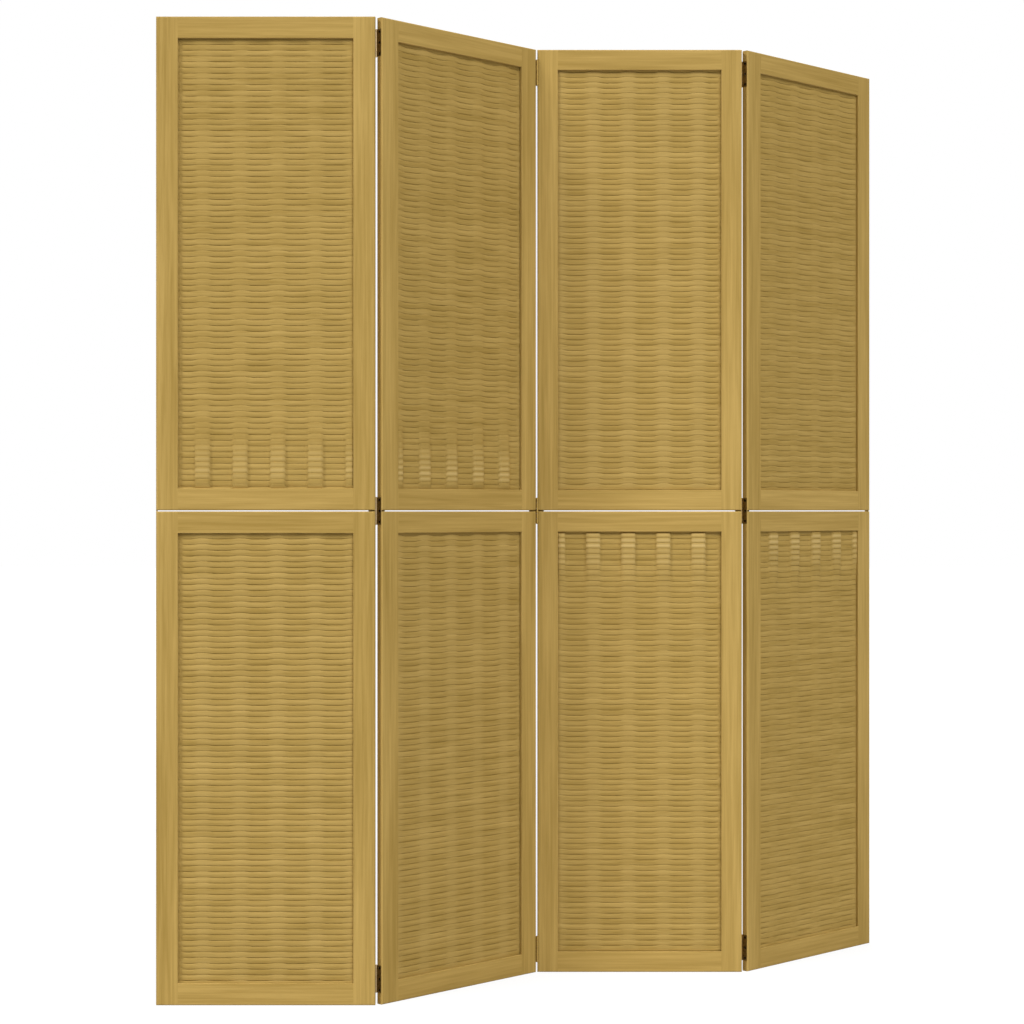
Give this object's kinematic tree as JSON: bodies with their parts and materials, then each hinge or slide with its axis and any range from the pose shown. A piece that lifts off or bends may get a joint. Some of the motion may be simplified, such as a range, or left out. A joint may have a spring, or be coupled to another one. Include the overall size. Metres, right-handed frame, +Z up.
{
  "type": "folding privacy screen",
  "caption": "Free-standing folding room divider: wooden leaves with recessed woven slat panels, hinged to fold flat in a zigzag.",
  "frame": {"origin": "middle of the plan bounding box at floor level, with the screen in its pictured zigzag", "axes": "+Z up, +X to the right along the first and third leaves, front towards -Y"},
  "size_m": [1.3922, 0.581, 1.8],
  "materials": {
    "frame_wood": "satin",
    "woven_infill": "matte",
    "rib_wood": "matte",
    "hinge_metal": "antique, satin",
    "screw_metal": "satin"
  },
  "bodies": {
    "leaf_1": {"leaf_1_lower_left_stile": "frame_wood", "leaf_1_lower_right_stile": "frame_wood", "leaf_1_lower_top_rail": "frame_wood", "leaf_1_lower_bottom_rail": "frame_wood", "leaf_1_upper_left_stile": "frame_wood", "leaf_1_upper_right_stile": "frame_wood", "leaf_1_upper_top_rail": "frame_wood", "leaf_1_upper_bottom_rail": "frame_wood", "leaf_1_lower_slats": "woven_infill", "leaf_1_upper_slats": "woven_infill", "leaf_1_ribs": "rib_wood", "leaf_1_screws": "screw_metal", "leaf_1_joining_plate": "hinge_metal", "hinge_1_left_plates": "hinge_metal", "hinge_1_pins": "hinge_metal"},
    "leaf_2": {"leaf_2_lower_left_stile": "frame_wood", "leaf_2_lower_right_stile": "frame_wood", "leaf_2_lower_top_rail": "frame_wood", "leaf_2_lower_bottom_rail": "frame_wood", "leaf_2_upper_left_stile": "frame_wood", "leaf_2_upper_right_stile": "frame_wood", "leaf_2_upper_top_rail": "frame_wood", "leaf_2_upper_bottom_rail": "frame_wood", "leaf_2_lower_slats": "woven_infill", "leaf_2_upper_slats": "woven_infill", "leaf_2_ribs": "rib_wood", "leaf_2_screws": "screw_metal", "hinge_1_right_plates": "hinge_metal", "hinge_2_left_plates": "hinge_metal", "hinge_2_pins": "hinge_metal"},
    "leaf_3": {"leaf_3_lower_left_stile": "frame_wood", "leaf_3_lower_right_stile": "frame_wood", "leaf_3_lower_top_rail": "frame_wood", "leaf_3_lower_bottom_rail": "frame_wood", "leaf_3_upper_left_stile": "frame_wood", "leaf_3_upper_right_stile": "frame_wood", "leaf_3_upper_top_rail": "frame_wood", "leaf_3_upper_bottom_rail": "frame_wood", "leaf_3_lower_slats": "woven_infill", "leaf_3_upper_slats": "woven_infill", "leaf_3_ribs": "rib_wood", "leaf_3_screws": "screw_metal", "hinge_2_right_plates": "hinge_metal", "hinge_3_left_plates": "hinge_metal", "hinge_3_pins": "hinge_metal"},
    "leaf_4": {"leaf_4_lower_left_stile": "frame_wood", "leaf_4_lower_right_stile": "frame_wood", "leaf_4_lower_top_rail": "frame_wood", "leaf_4_lower_bottom_rail": "frame_wood", "leaf_4_upper_left_stile": "frame_wood", "leaf_4_upper_right_stile": "frame_wood", "leaf_4_upper_top_rail": "frame_wood", "leaf_4_upper_bottom_rail": "frame_wood", "leaf_4_lower_slats": "woven_infill", "leaf_4_upper_slats": "woven_infill", "leaf_4_ribs": "rib_wood", "leaf_4_screws": "screw_metal", "leaf_4_joining_plate": "hinge_metal", "hinge_3_right_plates": "hinge_metal"}
  },
  "joints": [
    {"name": "fold_1", "type": "hinge", "parent": "leaf_1", "child": "leaf_2", "pos_m": [-0.29673, -0.27352, 0.9], "axis": [0, 0, 1], "range_deg": [-44.6, 135.4]},
    {"name": "fold_2", "type": "hinge", "parent": "leaf_2", "child": "leaf_3", "pos_m": [0.00118, -0.00643, 0.9], "axis": [0, 0, -1], "range_deg": [-44.6, 135.4]},
    {"name": "fold_3", "type": "hinge", "parent": "leaf_3", "child": "leaf_4", "pos_m": [0.40083, 0.01257, 0.9], "axis": [0, 0, 1], "range_deg": [-44.6, 135.4]}
  ]
}
